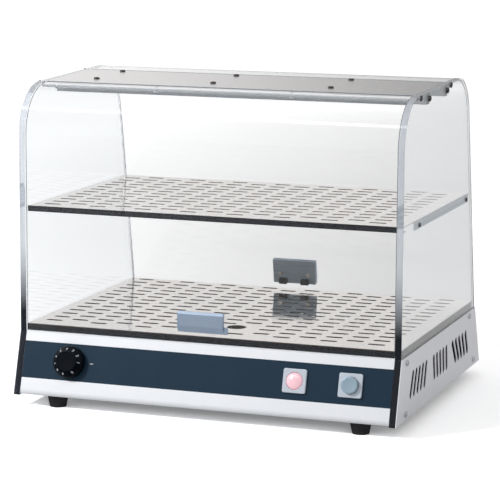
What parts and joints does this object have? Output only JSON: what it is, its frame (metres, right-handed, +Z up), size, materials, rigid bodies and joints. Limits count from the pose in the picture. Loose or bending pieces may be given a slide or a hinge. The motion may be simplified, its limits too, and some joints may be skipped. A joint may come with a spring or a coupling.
{
  "type": "heated display case",
  "caption": "Countertop food warmer: clear curved doors in front and behind, perforated deck and shelf, flared base with a thermostat knob, pilot lamp and push button.",
  "frame": {"origin": "on the table, under the middle of the case's outline", "axes": "+X to the right seen from the front, -Y towards the customer, +Z up"},
  "size_m": [0.5064, 0.4174, 0.4113],
  "materials": {
    "clear_acrylic": "clear polished acrylic",
    "white_steel": "smooth white powder coat",
    "zinc_steel": "zinc plated sheet",
    "aluminium_trim": "satin anodised",
    "navy_panel": "satin printed overlay",
    "stainless": "brushed stainless",
    "black_trim": "satin black",
    "black_rubber": "matte",
    "black_plastic": "fine matte",
    "steel_screw": "nickel plated",
    "blue_grey_aluminium": "satin anodised",
    "pink_lens": "translucent gloss",
    "grey_button": "gloss",
    "bright_bezel": "satin chrome",
    "element_steel": "heat tinted",
    "brass": "plain",
    "lead_insulation": "glass braid and silicone",
    "copper": "drawn copper"
  },
  "bodies": {
    "case": {"base_pan": "zinc_steel", "upper_front_band": "aluminium_trim", "control_panel": "navy_panel", "lower_front_band": "aluminium_trim", "base_rear_panel": "white_steel", "rear_panel_screws": "steel_screw", "side_panel_left": "clear_acrylic", "side_panel_right": "clear_acrylic", "side_cover_left": "white_steel", "side_cover_right": "white_steel", "side_cover_screws": "steel_screw", "feet": "black_rubber", "foot_screws": "steel_screw", "deck_frame": "black_trim", "shelf_bracket_left": "blue_grey_aluminium", "shelf_bracket_right": "blue_grey_aluminium", "shelf_bracket_screws": "steel_screw", "top_plate": "stainless", "front_rail": "blue_grey_aluminium", "rear_rail": "blue_grey_aluminium", "rail_end_blocks": "aluminium_trim", "rail_screws": "steel_screw", "hinge_pins": "steel_screw", "thermostat_body": "zinc_steel", "thermostat_bulb": "copper", "capillary_tube": "copper", "pilot_bezel": "bright_bezel", "pilot_lens": "pink_lens", "pilot_body": "black_plastic", "switch_bezel": "bright_bezel", "switch_body": "black_plastic", "control_nuts": "black_plastic", "electrical_terminals": "brass", "reflector_tray": "zinc_steel", "tray_posts": "zinc_steel", "heating_element": "element_steel", "element_clips": "zinc_steel", "power_inlet": "black_plastic", "inlet_pins": "brass", "terminal_block": "black_plastic", "internal_leads": "lead_insulation"},
    "front_door": {"front_hinge_profile": "aluminium_trim", "front_pane": "clear_acrylic", "front_pane_screws": "steel_screw", "front_handle": "blue_grey_aluminium", "front_handle_screws": "steel_screw"},
    "rear_door": {"rear_hinge_profile": "aluminium_trim", "rear_pane": "clear_acrylic", "rear_pane_screws": "steel_screw", "rear_handle": "blue_grey_aluminium", "rear_handle_clamp": "blue_grey_aluminium", "rear_handle_bumpers": "black_rubber", "rear_handle_screws": "steel_screw"},
    "knob": {"knob": "black_plastic", "thermostat_shaft": "zinc_steel"},
    "power_button": {"power_button": "grey_button"},
    "deck": {"deck_plate": "stainless"},
    "shelf": {"shelf_plate": "stainless", "shelf_front_trim": "black_trim"}
  },
  "joints": [
    {"name": "front_door_hinge", "type": "hinge", "parent": "case", "child": "front_door", "pos_m": [0, -0.11501, 0.40235], "axis": [-1, 0, 0], "range_deg": [0, 95]},
    {"name": "rear_door_hinge", "type": "hinge", "parent": "case", "child": "rear_door", "pos_m": [0, 0.02799, 0.40624], "axis": [1, 0, 0], "range_deg": [0, 95]},
    {"name": "knob_turn", "type": "hinge", "parent": "case", "child": "knob", "pos_m": [-0.1775, -0.19099, 0.06045], "axis": [0, 0.9585, -0.2851], "range_deg": [-53, 260]},
    {"name": "power_button_press", "type": "slide", "parent": "case", "child": "power_button", "axis": [0, 0.9585, -0.2851], "range_m": [0, 0.003], "stiffness_N_per_m": 500, "springref_m": -0.002},
    {"name": "deck_tilt", "type": "hinge", "parent": "case", "child": "deck", "pos_m": [0, 0.17199, 0.1031], "axis": [-1, 0, 0], "range_deg": [0, 20]},
    {"name": "shelf_tilt", "type": "hinge", "parent": "case", "child": "shelf", "pos_m": [0, 0.14099, 0.2529], "axis": [-1, 0, 0], "range_deg": [0, 18]}
  ]
}
